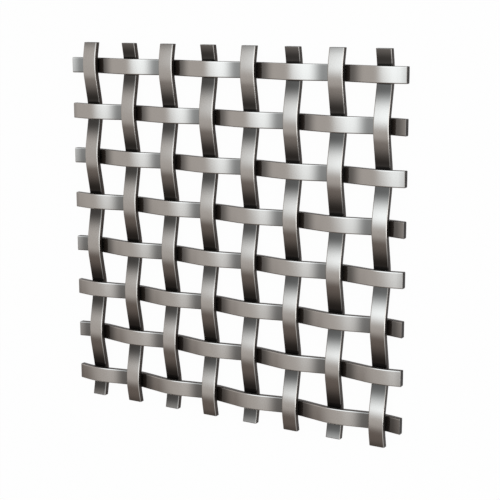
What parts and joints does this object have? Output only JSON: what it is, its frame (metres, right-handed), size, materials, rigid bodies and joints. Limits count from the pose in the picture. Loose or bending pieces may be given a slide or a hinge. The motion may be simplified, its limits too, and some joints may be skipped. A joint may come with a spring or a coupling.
{
  "type": "decorative grille sheet",
  "caption": "Flat square sheet of woven decorative grille: crimped flat steel strips crossing over and under each other around square openings.",
  "frame": {"origin": "middle of the sheet's outline in plan, level with its lowest crests", "axes": "+Z is the way the front face looks, up from the lying sheet; +Y is along the upright strips towards their top ends in the picture; +X is along the cross strips towards the right in the picture"},
  "size_m": [0.1524, 0.1524, 0.0051],
  "materials": {
    "steel_strip": "satin polished stainless steel, smooth, neutral to slightly warm grey"
  },
  "bodies": {
    "root": {"upright_strip_1": "steel_strip", "upright_strip_2": "steel_strip", "upright_strip_3": "steel_strip", "upright_strip_4": "steel_strip", "upright_strip_5": "steel_strip", "upright_strip_6": "steel_strip", "upright_strip_7": "steel_strip", "upright_strip_8": "steel_strip", "cross_strip_1": "steel_strip", "cross_strip_2": "steel_strip", "cross_strip_3": "steel_strip", "cross_strip_4": "steel_strip", "cross_strip_5": "steel_strip", "cross_strip_6": "steel_strip", "cross_strip_7": "steel_strip", "cross_strip_8": "steel_strip"}
  },
  "joints": []
}
